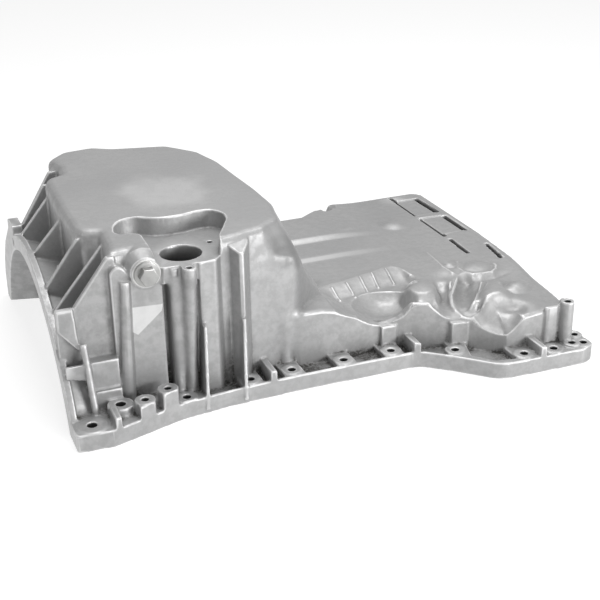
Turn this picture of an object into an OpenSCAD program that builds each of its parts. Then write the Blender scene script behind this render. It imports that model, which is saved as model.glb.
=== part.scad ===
// Cast aluminium engine oil pan, lying on its gasket rail with the sump upwards.
// Positions are nominal millimetres from the near corner of the bell-housing end.
// X runs along the crankshaft, Y across the engine and Z away from the gasket face.
// Positions stretch with the sizes below, walls, pads and holes keep their own size.

/* [Pan] */
// overall length of the gasket rail along the crankshaft
pan_l = 505; // [470:1:550]
// width of the pan at the bell-housing end
pan_w = 365; // [345:1:395]
// thickness of the gasket rail
rail_t = 16.5; // [14:0.5:19]
// wall thickness of the casting
wall = 5; // [4:0.25:6]
// corner rounding of the gasket rail outline
rail_r = 4; // [2:0.5:8]

/* [Sump] */
// height of the sump floor over the gasket face at its near edge
sump_h = 155; // [145:1:170]
// rise of the sump floor from its near edge to its far edge
sump_rise = 11.5; // [5:0.5:15]
// rounding of the sump's top edge
sump_round = 8; // [6:0.5:10]
// depth of the level sensor pocket
pocket_depth = 15; // [12:0.5:18]
// bore for the level sensor
sensor_bore_d = 38; // [32:0.5:42]
// distance of the sensor screws from the middle of the bore
sensor_pcd_r = 35.5; // [33:0.5:37]
// tapping hole for the sensor screws
sensor_screw_d = 5.2; // [4:0.1:6]

/* [Shallow floor] */
// general height of the shallow floor over the gasket face
floor_h = 55; // [50:1:62]
// columns of the sculpted floor along the pan
floor_cols = 54; // [30:1:60]
// rows of the sculpted floor across the pan
floor_rows = 42; // [26:1:48]

/* [Bell housing] */
// inner radius of the bell-housing arch
bell_r = 168; // [164:0.5:172]
// depth of the crank axis below the gasket face
bell_drop = 60; // [55:0.5:66]
// radial width of the arch's mating rim
rim_w = 14; // [11:0.5:18]
// thickness of the arch's mating rim along the pan
rim_t = 7; // [5:0.5:9]
// thickness of the gusset ribs behind the rim
gusset_t = 4; // [3:0.25:6]

/* [Bolt holes] */
// clearance hole of the rail bolts
rail_hole_d = 7.5; // [6.6:0.1:8.5]
// clearance hole of the two large bolts at the bell-housing end
bell_hole_d = 9; // [8:0.1:10.5]
// clearance hole in the two tall bosses of the rail
boss_hole_d = 6.6; // [6:0.1:7.5]
// radius of the raised pads round the rail holes
pad_r = 10; // [9:0.25:11]

/* [Drain plug] */
// shank diameter of the drain plug
plug_d = 14; // [12:0.5:16]
// flange diameter of the drain plug
plug_flange_d = 23; // [21:0.5:25]
// hexagon of the drain plug across its flats
plug_af = 15; // [13:0.5:17]
// height of the drain plug's hexagon
plug_hex_h = 8; // [6:0.5:10]
// outer diameter of the sealing washer
washer_d = 26; // [25.5:0.5:28]
// thickness of the sealing washer
washer_t = 1.6; // [1:0.1:2.4]
// radial clearance round the plug's shank
plug_gap = 0.2; // [0.1:0.05:0.4]

/* [Hidden] */
$fn = 48;

// nominal sizes that the positions are written for, and their stretch
nominal_l = 505;
nominal_w = 365;
kx = pan_l / nominal_l;
ky = pan_w / nominal_w;
ks = sump_h / 155;
kf = floor_h / 55;

// walls and levels that several forms share
near_wall_y = 57;
sump_left_x = 35;
bell_mid_y = 190;
bell_depth = 30;
pocket_z = sump_h - pocket_depth;
sensor_at = [121.5, 71];
plug_at = [82.5, 46, 136.5];
overlap = 1;

// colours of the casting, the plug and the washer
cast_grey = [0.72, 0.73, 0.74];
plug_grey = [0.78, 0.78, 0.79];
copper = [0.72, 0.45, 0.30];

// Helpers

function at(p) = [p[0] * kx, p[1] * ky];
function across(p) = [p[0], nominal_w - p[1]];
function flip(list) = [for (i = [len(list) - 1:-1:0]) list[i]];
function mix(a, b, t) = a + (b - a) * t;
function unit(v) = v / max(norm(v), 0.0001);
function left_of(v) = unit([-v[1], v[0]]);
function ease(v, a, b) =
    let (t = max(0, min(1, (v - a) / (b - a))))
    t * t * (3 - 2 * t);

// closed outline with its corners rounded by short arcs
function rounded(ring, r, n = 3) = [
    for (i = [0:len(ring) - 1])
        let (
            a = ring[(i + len(ring) - 1) % len(ring)],
            b = ring[i],
            c = ring[(i + 1) % len(ring)],
            d = min(r, norm(a - b) * 0.45, norm(c - b) * 0.45),
            p = b + unit(a - b) * d,
            q = b + unit(c - b) * d
        )
        for (k = [0:n])
            let (t = k / n)
            (1 - t) * (1 - t) * p + 2 * t * (1 - t) * b + t * t * q
];

// closed counter-clockwise outline moved inwards
function inset(ring, d) = [
    for (i = [0:len(ring) - 1])
        let (
            a = ring[(i + len(ring) - 1) % len(ring)],
            b = ring[i],
            c = ring[(i + 1) % len(ring)],
            n = left_of(b - a),
            m = unit(n + left_of(c - b))
        )
        b + m * d / max(0.6, m * n)
];

function mean(ring) = [for (p = ring) 1] * ring / len(ring);

// solid through counter-clockwise rings of points, from the lowest ring to the highest,
// each end closed by a fan round a middle that sees the whole ring
module loft(rings, mid = undef) {
    n = len(rings[0]);
    last = len(rings) - 1;
    low = (last + 1) * n;
    ends = [
        for (ring = [rings[0], rings[last]])
            is_undef(mid) ? mean(ring) : [mid[0], mid[1], ring[0][2]]
    ];
    sides = [
        for (k = [0:last - 1])
            for (i = [0:n - 1])
                let (a = k * n + i, b = k * n + (i + 1) % n)
                each [[a, a + n, b + n], [a, b + n, b]]
    ];
    caps = [
        for (i = [0:n - 1])
            each [[low, i, (i + 1) % n], [low + 1, last * n + (i + 1) % n, last * n + i]]
    ];
    polyhedron(points = concat([for (ring = rings) each ring], ends), faces = concat(sides, caps));
}

// solid from a field of top points, m in a row and n rows, down to a flat foot
module field(top, m, n, z) {
    far = (n - 1) * m;
    a = m * n;
    b = a + m;
    foot = [for (k = [0, far]) for (i = [0:m - 1]) [top[k + i][0], top[k + i][1], z]];
    cells = [
        for (j = [0:n - 2])
            for (i = [0:m - 2])
                let (k = j * m + i)
                each [[k, k + m, k + m + 1], [k, k + m + 1, k + 1]]
    ];
    walls = [
        for (i = [0:m - 2])
            each [
                [a + i, i, i + 1], [a + i, i + 1, a + i + 1],
                [b + i, far + i + 1, far + i], [b + i, b + i + 1, far + i + 1],
                [a + i, b + i + 1, b + i], [a + i, a + i + 1, b + i + 1]
            ]
    ];
    ends = [
        for (j = [0:n - 2])
            each [[a, (j + 1) * m, j * m], [b - 1, (j + 1) * m - 1, (j + 2) * m - 1]]
    ];
    polyhedron(
        points = concat(top, foot),
        faces = concat(cells, walls, ends, [[a, b, far], [b - 1, a - 1, b + m - 1]])
    );
}

// straight block over a nominal outline
module slab(ring, z0, z1) {
    translate([0, 0, z0])
        linear_extrude(z1 - z0)
            polygon([for (p = ring) at(p)]);
}

// upright cylinder at a nominal position
module post(p, r, z0, z1) {
    translate([p[0] * kx, p[1] * ky, z0])
        cylinder(h = z1 - z0, r = r);
}

// plate in the plane of X and Z, its middle at a nominal y
module web(y, profile, t) {
    translate([0, y * ky + t / 2, 0])
        rotate([90, 0, 0])
            linear_extrude(t)
                polygon([for (p = profile) [p[0] * kx, p[1]]]);
}

// Gasket rail

rail_near = [
    [0, 0], [33, -2], [100, 19], [149, 25], [217, 27], [334, 25.8], [345, 22.5],
    [372, -1], [396, -25.5], [406, -30], [416, -31], [492, -33.5], [505, -28]
];
rail_ring = concat(rail_near, flip([for (p = rail_near) across(p)]));

// rail bolts on the near side, the far side carries the same row
bell_holes = [[17, 14], [46.5, 28]];
rail_holes = [
    [107.5, 29], [172, 38], [214, 40], [267, 38.5], [317, 38],
    [375, 14.5], [432, -19], [464, -21], [497.5, -21.5]
];
end_holes = [[485, -20.5], [497.5, -6]];
boss_holes = [[66.5, 18.5], [89.2, 24]];
boss_tops = [29.5, 33];

// hollows of the rail between its pads
rail_hollows = [
    [[127, 26], [161, 28.5], [161, 52], [127, 50]],
    [[182.5, 30], [204, 30], [204, 56], [182.5, 56]],
    [[224.5, 30.5], [257, 30], [257, 58], [224.5, 58]],
    [[277.5, 30], [307, 29.5], [307, 58], [277.5, 58]],
    [[327.5, 29.5], [337, 29], [347, 25], [365, 10], [374, 26], [372, 40], [345, 50], [330, 56]],
    [[384, -2], [401, -20], [421, -24], [421, 4], [404, 20], [392, 26]],
    [[443, -27], [453, -27.5], [453, 0], [443, 0]]
];
hollow_z = 10;
// lip that is left over the step at the rail's near right corner
rail_lip = 5.5;

// short ribs from the rail's edge to the wall, as [x, front y, back y]
rail_ribs = [[38, 2, 22], [191.5, 27.5, 58], [339.5, 25, 50], [446.5, -31, 0]];
rail_rib_t = 6;
rail_rib_h = 10;

function both_sides(list) = concat(list, [for (p = list) across(p)]);
function both_rings(list) = concat(list, [for (ring = list) flip([for (p = ring) across(p)])]);

// strip of a given width round an x position, from a front to a back line
function strip(x, w, front, back) = [
    [x - w / 2, front], [x + w / 2, front], [x + w / 2, back], [x - w / 2, back]
];

// pads and bosses of one side, before they are trimmed to the rail's outline
module near_pads() {
    for (p = rail_holes)
        post(p, pad_r, 1, rail_t + 1.2);
    post(bell_holes[0], pad_r + 4, 1, rail_t + 1);
    post(bell_holes[1], pad_r + 2, 1, rail_t + 8);
    for (p = end_holes)
        post(p, pad_r - 2, 1, rail_t + 2.8);
    for (i = [0:1]) {
        post(boss_holes[i], pad_r - 0.5, 1, boss_tops[i]);
        slab(strip(boss_holes[i][0], 2 * pad_r - 5, 0, boss_holes[i][1]), 1, boss_tops[i] - 1);
    }
    for (r = rail_ribs)
        slab(strip(r[0], rail_rib_t, r[1] - 12, r[2]), 1, rail_t + rail_rib_h);
}

module far_side() {
    translate([0, pan_w, 0])
        mirror([0, 1, 0])
            children();
}

module rail() {
    difference() {
        slab(rounded(rail_ring, rail_r), 0, rail_t);
        for (ring = both_rings(rail_hollows))
            slab(ring, hollow_z, rail_t + overlap);
        slab([[502.5, -50], [520, -50], [520, -10], [502.5, -10]], -overlap, rail_t - rail_lip);
    }
    intersection() {
        union() {
            near_pads();
            far_side() near_pads();
        }
        slab(rounded(rail_ring, rail_r), 0.5, sump_h);
    }
}

module rail_bores() {
    through = rail_t + 60;
    for (p = both_sides(concat(rail_holes, end_holes)))
        post(p, rail_hole_d / 2, -overlap, through);
    for (p = both_sides(bell_holes))
        post(p, bell_hole_d / 2, -overlap, through);
    for (p = both_sides(boss_holes))
        post(p, boss_hole_d / 2, -overlap, through);
}

// Sump, a loft whose near right shoulder flares down to the shallow floor

sump_near = [[51, near_wall_y], [84, 60], [118, 56], [150, 49], [172, 53]];
sump_rest = [
    [222, 205], [218, 247], [207, 285], [180, 316], [124, 328], [104, 340], [71, 336],
    [51, 316], [57, 292], [56, 270], [40, 264], [sump_left_x + 1, 250], [sump_left_x, 183],
    [sump_left_x + 1, 128], [42, 115], [56, 109], [55, 80]
];
// shoulder at each level: end of the near wall, crease, facet, valley, spine and two points behind
shoulder = [
    [54, [[210, 57], [221, 56], [229, 60], [237, 68], [278, 106], [284, 146], [270, 188]]],
    [62, [[210, 57], [221, 56], [229, 60], [237, 68], [270, 100], [276, 138], [262, 180]]],
    [75, [[210, 57], [222, 56], [230, 60], [237, 67], [258, 90], [266, 128], [255, 172]]],
    [88, [[209, 57], [223, 56.5], [231, 60], [237, 66], [250, 82], [258, 122], [250, 165]]],
    [100, [[208, 57], [226, 57.5], [231, 60.5], [236, 66], [244, 78], [252, 121], [246, 162]]],
    [112, [[203, 57], [228, 58.5], [231, 61], [234, 65], [240, 75], [246, 120], [242, 160]]],
    [124, [[196, 57], [227, 60], [229, 63], [231, 67], [234, 73], [240, 119], [236, 160]]],
    [130, [[191, 57], [201, 58.5], [215, 68], [222, 69.5], [231, 75], [237, 119], [234, 160]]],
    [138, [[187, 57], [200, 59], [214, 69], [219, 71], [228, 76], [235, 119], [232, 160]]],
    [147, [[183, 57.5], [198, 60], [209, 69], [213, 71], [221, 78], [229, 118], [227, 160]]]
];
shoulder_top = len(shoulder) - 1;
sump_far_y = 336;
sump_corner_r = 4;

function sump_outline(k) = concat(sump_near, shoulder[k][1], sump_rest);
function sump_inset(k, d) = inset([for (p = sump_outline(k)) at(p)], d);
function sump_ring(k, d = 0) = rounded(sump_inset(k, d), sump_corner_r, 2);
function sump_inner(k) = sump_inset(k, wall);
function sump_top_z(p) =
    sump_h + sump_rise * (p[1] / ky - near_wall_y) / (sump_far_y - near_wall_y);
function level(ring, z) = [for (p = ring) [p[0], p[1], z]];
function crown(ring, drop) = [for (p = ring) [p[0], p[1], sump_top_z(p) - drop]];

module sump_body() {
    loft(concat(
        [level(sump_ring(0), 2)],
        [for (k = [0:shoulder_top - 1]) level(sump_ring(k), shoulder[k][0] * ks)],
        [
            for (a = [0, 30, 60, 90])
                crown(sump_ring(shoulder_top, sump_round * (1 - cos(a))), sump_round * (1 - sin(a)))
        ]
    ));
}

module sump_cavity() {
    upper = sump_inner(shoulder_top);
    loft(concat(
        [level(sump_inner(1), -overlap)],
        [for (k = [1, 3, 5, 7]) level(sump_inner(k), (shoulder[k][0] - wall) * ks)],
        [crown(upper, wall + sump_round * 1.3), crown(inset(upper, sump_round * 0.5), wall)]
    ));
}

// Level sensor pocket in the sump floor

pocket_ring = [
    [93, 24], [149, 24], [151, 50], [154, 63], [163, 79], [173, 97], [174, 110], [166, 121],
    [152, 122], [140, 117.5], [121, 117.5], [108, 121], [96, 130], [82, 127], [73, 115],
    [71, 103], [75, 96], [84, 97], [92, 91]
];
pocket_mid = [118, 108];
sensor_ear_r = 6.5;

function sensor_screw(i) = sensor_at
    + [cos(-95 + 120 * i) / kx, sin(-95 + 120 * i) / ky] * sensor_pcd_r;

module pocket_cut() {
    ring = [for (p = rounded(pocket_ring, 7)) at(p)];
    loft([
        level(ring, pocket_z),
        level(inset(ring, -1.5), sump_h + sump_rise * 0.3),
        level(inset(ring, -5), sump_h + sump_rise)
    ], at(pocket_mid));
}

// casting left round the pocket inside the sump
module pocket_shell() {
    ring = [for (p = rounded(pocket_ring, 7)) at(p)];
    loft([
        level(inset(ring, -wall), pocket_z - wall - 3),
        level(inset(ring, -wall - 2), sump_h + sump_rise + overlap)
    ], at(pocket_mid));
    post(sensor_at, sensor_bore_d / 2 + 6, pocket_z - sensor_boss_t, pocket_z);
    for (i = [1:2])
        post(sensor_screw(i), sensor_ear_r, pocket_z - sensor_boss_t, pocket_z);
}

sensor_boss_t = 16;

// round bulge of the near wall under the sensor, with the screw ear and two columns on it
module sensor_bulge() {
    front = sensor_screw(0);
    boss_z = pocket_z - sensor_boss_t;
    post(sensor_at, sensor_bore_d / 2 + wall, 1, pocket_z - 1);
    for (c = [[107, 46, 5.5], [117.2, 43, 6]]) {
        post([c[0], c[1]], c[2], 1, pocket_z - 2);
        slab(strip(c[0], 2 * c[2] - 1, c[1], 60), 1, pocket_z - 2);
    }
    low = [117.2 * kx, 43 * ky, 5, 1];
    high = [front[0] * kx, front[1] * ky, sensor_ear_r - 0.3, pocket_z - 1];
    loft([
        for (c = [low, high])
            [for (a = [0:20:340]) [c[0] + c[2] * cos(a), c[1] + c[2] * sin(a), c[3]]]
    ]);
    slab([[94, 46.5], [98, 43], [130, 43], [130, 60], [94, 60]], boss_z, pocket_z);
    post(front, sensor_ear_r, boss_z, pocket_z);
    slab(strip(front[0], 2 * sensor_ear_r - 1, front[1], 50), boss_z, pocket_z);
}

module sensor_bores() {
    depth = sensor_boss_t - 4;
    post(sensor_at, sensor_bore_d / 2, pocket_z - sensor_boss_t - 2, pocket_z + overlap);
    for (i = [0:2])
        post(sensor_screw(i), sensor_screw_d / 2, pocket_z - depth, pocket_z + overlap);
}

// room for the sensor below its bore
module sensor_room() {
    post(sensor_at, sensor_bore_d / 2 + 1, -overlap, pocket_z - sensor_boss_t);
}

// Near wall: corner block, rib, column and posts

rib_step_z = 81;

// thin rib that widens towards the rail, between a low and a high outline
module front_web(low, high) {
    loft([level([for (p = low) at(p)], 4), level([for (p = high) at(p)], rib_step_z)]);
}

module near_ribs() {
    corner = [[129, 60], [129, 41.5], [146, 43.5], [151, 49], [157, 54], [157, 60]];
    slab(flip(rounded(flip(corner), 2, 2)), 1, pocket_z);
    front_web(
        [[123.2, 19.9], [126.8, 20.3], [128.5, 46], [125, 46]],
        [[128.2, 32.5], [131.4, 32.5], [132, 46], [128.8, 46]]
    );
    ridge = [[156, 58], [166, 38.5], [169.5, 38], [179, 52], [181, 58]];
    top = [for (p = ridge) at(p)];
    loft([
        level(top, 1),
        [for (p = top) [p[0], p[1], (143 + (p[1] / ky - 36) * 0.35) * ks]]
    ]);
    front_web(
        [[161, 23.2], [164.6, 23.2], [167.5, 42], [163.5, 42]],
        [[165.2, 33], [168.6, 33], [168.8, 42], [165.4, 42]]
    );
}

panel_y = 47;

// raised panel under the drain plug with a rounded head, a column and two steps beside it
module near_panel() {
    slab([[51, panel_y + 2], [66, panel_y + 2], [66, 62], [51, 62]], 1, 137 * ks);
    slab([[62, panel_y], [96.5, panel_y], [96.5, 62], [62, 62]], 1, 128 * ks);
    translate([58.5 * kx, 62 * ky, 137 * ks])
        rotate([90, 0, 0])
            cylinder(h = (60 - panel_y) * ky, r = 7.5 * kx);
    loft([
        for (c = [[57.7, 48, 7.6, 1], [63.4, 47.5, 4.6, 131 * ks]])
            [for (a = [0:30:330]) [c[0] * kx + c[2] * cos(a), c[1] * ky + c[2] * sin(a), c[3]]]
    ]);
    slab([[23, 43], [51.5, 43], [51.5, 60], [23, 60]], 1, 61 * ks);
    slab([[27, 38], [51.5, 38], [51.5, 60], [27, 60]], 1, 34 * ks);
    web(44, [[4, 50 * ks], [4, 61 * ks], [25, 61 * ks], [25, 44 * ks]], 3);
}

// round bar between two nominal points
module rod(a, b, r) {
    p = [a[0] * kx, a[1] * ky, a[2] * ks];
    d = [b[0] * kx, b[1] * ky, b[2] * ks] - p;
    translate(p)
        rotate([0, acos(d[2] / norm(d)), atan2(d[1], d[0])])
            cylinder(h = norm(d), r = r);
}

// soft band under the shoulder and two flat columns of the shallow end's wall
wall_columns = [
    [[311, 58], [313.5, 50], [328.5, 49.5], [331, 56]],
    [[374, 40], [378, 26.5], [393.5, 23.5], [396, 32]]
];

module shoulder_columns() {
    post([216, 64.5], 10, 1, 60 * ks);
    translate([216 * kx, 64.5 * ky, 60 * ks - overlap])
        cylinder(h = 42 * ks, r1 = 10, r2 = 5);
    slab(wall_columns[0], 1, 37 * kf);
    slab(wall_columns[1], 1, 39 * kf);
}

// Drain plug boss on the near wall

module plug_boss() {
    face_r = washer_d / 2 + 1.3;
    translate([plug_at[0] * kx, plug_at[1] * ky, plug_at[2] * ks])
        rotate([-90, 0, 0]) {
            cylinder(h = 2, r = face_r);
            translate([0, 0, 1.5])
                cylinder(h = 10.5, r1 = face_r, r2 = face_r + 5);
            translate([0, 0, 11.5])
                cylinder(h = 12, r = face_r + 5);
        }
}

module plug_bore() {
    translate([plug_at[0] * kx, plug_at[1] * ky - overlap, plug_at[2] * ks])
        rotate([-90, 0, 0])
            cylinder(h = 26, r = plug_d / 2 + plug_gap);
}

// Bell-housing arch with its rim, skirt, far ear and gusset ribs

far_ear = [
    [250, 60], [262, 117], [288, 117], [289, 108], [328, 79], [352, 50], [362, 30],
    [364, 12], [364, 1], [330, 1]
];
// gusset ribs as [y, foot height, x of the top corner, top height, x of the end]
gussets = [
    [93, 94, 54, 150, 60],
    [118, 109, 37.5, 150, 59.5],
    [175, 120, 34, 150, 40],
    [240, 117, 35, 151, 42],
    [267, 108, 36, 155, 58],
    [297, 92, 48, 158, 60]
];

module bell_cone(x0, x1, r0, r1) {
    translate([x0 * kx, bell_mid_y * ky, -bell_drop])
        rotate([0, 90, 0])
            cylinder(h = (x1 - x0) * kx, r1 = r0, r2 = r1, $fn = 96);
}

module above_rail() {
    translate([-20, -60, 0.5])
        cube([pan_l, pan_w + 120, sump_h * 2]);
}

module bell_arch() {
    intersection() {
        union() {
            bell_cone(0, rim_t, bell_r + rim_w, bell_r + rim_w);
            bell_cone(rim_t - overlap, 62, bell_r + 9, bell_r - 12);
        }
        above_rail();
    }
    rotate([90, 0, 90])
            linear_extrude(11)
                polygon([for (p = far_ear) [p[0] * ky, p[1]]]);
    translate([0, 262 * ky, 101])
        rotate([0, 90, 0])
            cylinder(h = 14, r = 8);
    for (g = gussets)
        web(g[0], [
            [rim_t - 1, g[1] - 20], [rim_t - 0.5, g[1]], [g[2], g[3] * ks],
            [g[4], g[3] * ks], [g[4], g[1] - 20]
        ], gusset_t);
    web(near_wall_y + 2, [
        [2, 40], [2, 108], [17, 108], [51, 152 * ks], [58, 152 * ks], [58, 20], [12, 20]
    ], 6);
    web(near_wall_y - 2, [[2, 92], [2, 111], [17, 111], [19.5, 70]], 8);
    for (y = [142, 205])
        translate([22 * kx, y * ky, 112])
            rotate([0, 90, 0])
                cylinder(h = 16, r = 5);
}

module bell_space() {
    bell_cone(-overlap, bell_depth, bell_r + 0.2, bell_r - 7);
    translate([-overlap, 262 * ky, 101])
        rotate([0, 90, 0])
            cylinder(h = 16, r = 4.5);
}

// oil space under the skirt beside the stepped near corner of the sump
module corner_cavity() {
    intersection() {
        bell_cone(bell_depth + 6, 66, bell_r - 13, bell_r - 25);
        slab([[38, 63], [66, 63], [66, 320], [38, 320]], -overlap, 100);
    }
}

// Shallow end, a sculpted field between the near and the far wall

function near_y(x) = lookup(x, [
    [200, 59], [216, 59], [222, 55], [322, 54], [345, 46], [380, 31], [397, 23], [412, 8], [424, -1],
    [440, -4], [510, -4]
]);
function far_y(x) = nominal_w - lookup(x, [[200, 55], [333, 54], [366, 28], [388, 14], [510, 13]]);
// height of the near wall's top edge
function edge_z(x) = lookup(x, [
    [220, 66], [240, 65], [262, 64.5], [270, 59], [279, 55], [288, 51.5], [293, 48], [302, 42.5],
    [313, 39], [321, 39.3], [331, 43.5], [337, 48], [344, 58], [359, 59], [362, 55.5], [370, 47.5],
    [375, 44.2], [382, 42.2], [390, 41], [396, 41], [404, 36], [411, 32.5], [418, 31], [422, 30.5],
    [430, 37.5], [439, 48], [462, 50], [500, 50]
]);
// upper and lower line of the ribbed channel's slope
function channel_top(x) = lookup(x, [
    [260, 116], [278, 121], [292, 126], [304, 127.5], [322, 132.5], [337, 136], [350, 140], [362, 142.5]
]);
function channel_foot(x) = lookup(x, [
    [260, 95], [284, 98], [309, 100], [325, 104], [340, 108], [360, 107], [380, 100]
]);
// patches as [x, y, reach along, reach across, turn, middle height, rim height, softness],
// each a shallow bowl or dome that is blended onto what lies under it
patches = [
    [328, 74, 34, 31, 0, 36, 49, 0.16],
    [388, 64, 38, 12, 70, 43.5, 50, 0.4],
    [364, 65, 18, 14, 68, 63.5, 56, 0.3],
    [409, 66, 38, 15, 57, 43, 49, 0.3],
    [426, 15, 20, 18, 30, 45, 38, 0.4],
    [435, 45, 37, 17, 56, 62, 54, 0.3],
    [466, 50, 17, 14, 20, 58, 53, 0.4],
    [455, 86, 20, 8, 12, 49.5, 51.5, 0.5],
    [450, 108, 18, 13, 12, 58.5, 55, 0.4],
    [366, 262, 10, 8, 0, 60, 61, 0.8],
    [424, 252, 10, 9, 0, 59, 60, 0.8],
    [376, 338, 9, 12, 0, 46, 50, 0.5]
];
// end wall, which runs in a little towards the near corner
function end_x(y) = lookup(y, [[-10, 489], [9, 490.5], [41, 494], [82, 497.5], [124, 501], [190, 504.5]]);

function patched(x, y, z, i = 0) = i == len(patches) ? z :
    let (
        b = patches[i],
        u = x - b[0],
        v = y - b[1],
        r = norm([(u * cos(b[4]) + v * sin(b[4])) / b[2], (v * cos(b[4]) - u * sin(b[4])) / b[3]]),
        w = 1 - ease(r, 1 - b[7], 1 + b[7])
    )
    patched(x, y, mix(z, b[5] + (b[6] - b[5]) * min(r * r, 1.6), w), i + 1);

function plateau(x, y) =
    let (
        left = 1 - ease(x, 330, 430),
        bank = (1 - ease(x, 262, 292)) * (1 - ease(y, 75, 125)),
        corner = ease(x, 436, 470) * (1 - ease(y, 60, 120)),
        reach = ease(x, 268, 290) * (1 - ease(x, 368, 386)),
        slope = ease(y, channel_foot(x), channel_top(x)),
        rim = exp(-pow((y - channel_top(x) - 2) / 4, 2))
    )
    55 + left * (1.5 + 2 * ease(y, 182, 200) + 3 * ease(y, 232, 244)) + 8 * bank - 4 * corner
        - reach * 7 * (1 - slope) + reach * 1.2 * rim;

// height of the shallow floor's outside at a nominal position
function floor_z(x, y) =
    let (
        d = y - near_y(x),
        f = far_y(x) - y,
        open = mix(edge_z(x), patched(x, y, plateau(x, y)), ease(d, 0, 24)),
        fall = 1.5 * (1 - ease(d, 0, 4)) + 4 * (1 - ease(f, 0, 8)) + 2 * (1 - ease(end_x(y) - x, 0, 7))
    )
    kf * (open - fall);

// columns and rows lie closer together where the field is sculpted
function row_y(x, j) =
    let (t = j / floor_rows)
    mix(near_y(x), far_y(x), 0.35 * t + 0.65 * t * t);
function col_x(i, j) =
    let (end = end_x(row_y(490, j)))
    lookup(i / floor_cols, [[0, 204], [0.12, 284], [0.88, end - 18], [1, end]]);

module shallow_body() {
    top = [
        for (j = [0:floor_rows])
            for (i = [0:floor_cols])
                let (x = col_x(i, j), y = row_y(x, j))
                [x * kx, y * ky, floor_z(x, y)]
    ];
    field(top, floor_cols + 1, floor_rows + 1, 1);
}

// inside of the shallow end, a coarser field under the thinnest place nearby
cavity_cols = 24;
cavity_rows = 20;

function inner_z(x, y) =
    let (near = [for (u = [-9, 0, 9]) for (v = [-9, 0, 9]) floor_z(min(x + u, end_x(y + v) - 4), y + v)])
    min(near) - wall * 1.1;

module shallow_cavity() {
    margin = wall + 1;
    top = [
        for (j = [0:cavity_rows])
            for (i = [0:cavity_cols])
                let (
                    t = j / cavity_rows,
                    end = end_x(mix(near_y(490), far_y(490), t)) - margin,
                    x = mix(216, end, i / cavity_cols),
                    y = mix(near_y(x) + margin, far_y(x) - margin, t)
                )
                [x * kx, y * ky, inner_z(x, y)]
    ];
    field(top, cavity_cols + 1, cavity_rows + 1, -overlap);
}

// raised line that follows the sculpted floor
function foot_of(p) = [p[0] * kx, p[1] * ky, floor_z(p[0], p[1]) - 2];
function crest_of(p, c, h) = [p[0] * kx, p[1] * ky, floor_z(c[0], c[1]) + h];

module ridge(path, w, h) {
    last = len(path) - 1;
    points = [
        for (i = [0:last])
            let (
                c = path[i],
                n = left_of(path[min(last, i + 1)] - path[max(0, i - 1)]) * w
            )
            each [foot_of(c - n), crest_of(c - n * 0.4, c, h), crest_of(c + n * 0.4, c, h), foot_of(c + n)]
    ];
    sides = [
        for (i = [0:last - 1])
            for (k = [0:3])
                let (a = 4 * i + k, b = 4 * i + (k + 1) % 4)
                each [[a, b, b + 4], [a, b + 4, a + 4]]
    ];
    polyhedron(
        points = points,
        faces = concat([[0, 3, 2, 1]], sides, [[for (k = [0:3]) 4 * last + k]])
    );
}

channel_ribs = [
    [[289.6, 97], [289.6, 119]],
    [[307.7, 99], [307.7, 123]],
    [[324, 104], [326, 132]],
    [[338.5, 110], [341.5, 136]],
    [[357, 112], [360, 141]]
];
lobe_rim = [
    [437, 124], [430, 111], [431, 101], [438, 92], [450, 89.5], [458, 89.5], [469, 100]
];
basin_rim = [
    [430, 111], [422.5, 99.5], [415.5, 87.5], [406, 75.5], [397.5, 65.5], [392, 54], [390.5, 42],
    [394, 34.5], [401, 32]
];

module floor_ridges() {
    for (rib = channel_ribs)
        ridge([for (t = [0:0.25:1]) mix(rib[0], rib[1], t)], 1.8, 1.6);
    ridge(lobe_rim, 3, 1.4);
    ridge(basin_rim, 3, 1.6);
}

// recessed ladder of slots along the end of the shallow floor
slot_rows = [
    [[[463, 343], [463, 270]], [[463.5, 262], [463.5, 199]], [[464, 191], [462, 145]]],
    [[[491, 325], [493, 271]], [[494, 259], [494, 206]], [[494, 163], [488, 120]]]
];
slot_t = 5;
slot_floor = 48;
plate_floor = 53.3;

module ladder_cut() {
    for (row = slot_rows)
        for (s = row)
            slab([
                [s[1][0] - slot_t / 2, s[1][1]], [s[1][0] + slot_t / 2, s[1][1]],
                [s[0][0] + slot_t / 2, s[0][1]], [s[0][0] - slot_t / 2, s[0][1]]
            ], slot_floor * kf, 80 * kf);
    for (y = [[272, 325], [208, 262]])
        slab([[464, y[0]], [492, y[0]], [492, y[1]], [464, y[1]]], plate_floor * kf, 80 * kf);
}

// Near right corner of the shallow end with a block and a bored boss

end_boss = [484, -9.5, 59];
end_boss_r = 6.6;
end_block = [[461.5, -7.5], [479, -7.5], [479, 6], [461.5, 6]];
end_block_z = 54;

module end_corner() {
    post([end_boss[0], end_boss[1]], end_boss_r, 1, end_boss[2] * kf);
    slab(strip(end_boss[0], 2 * end_boss_r - 2, end_boss[1], 6), 1, (end_boss[2] - 4) * kf);
    slab(rounded(end_block, 4), 1, end_block_z * kf);
}

// Parts

module pan_casting() {
    color(cast_grey)
        difference() {
            union() {
                rail();
                sump_body();
                shallow_body();
                floor_ridges();
                bell_arch();
                near_ribs();
                near_panel();
                rod([22.5, 49, 78], [25, 30, 13], 3.2);
                sensor_bulge();
                shoulder_columns();
                plug_boss();
                end_corner();
            }
            difference() {
                sump_cavity();
                pocket_shell();
            }
            shallow_cavity();
            corner_cavity();
            bell_space();
            pocket_cut();
            sensor_bores();
            sensor_room();
            plug_bore();
            ladder_cut();
            rail_bores();
            post([end_boss[0], end_boss[1]], boss_hole_d / 2, -overlap, end_boss[2] * kf + overlap);
        }
}

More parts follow.
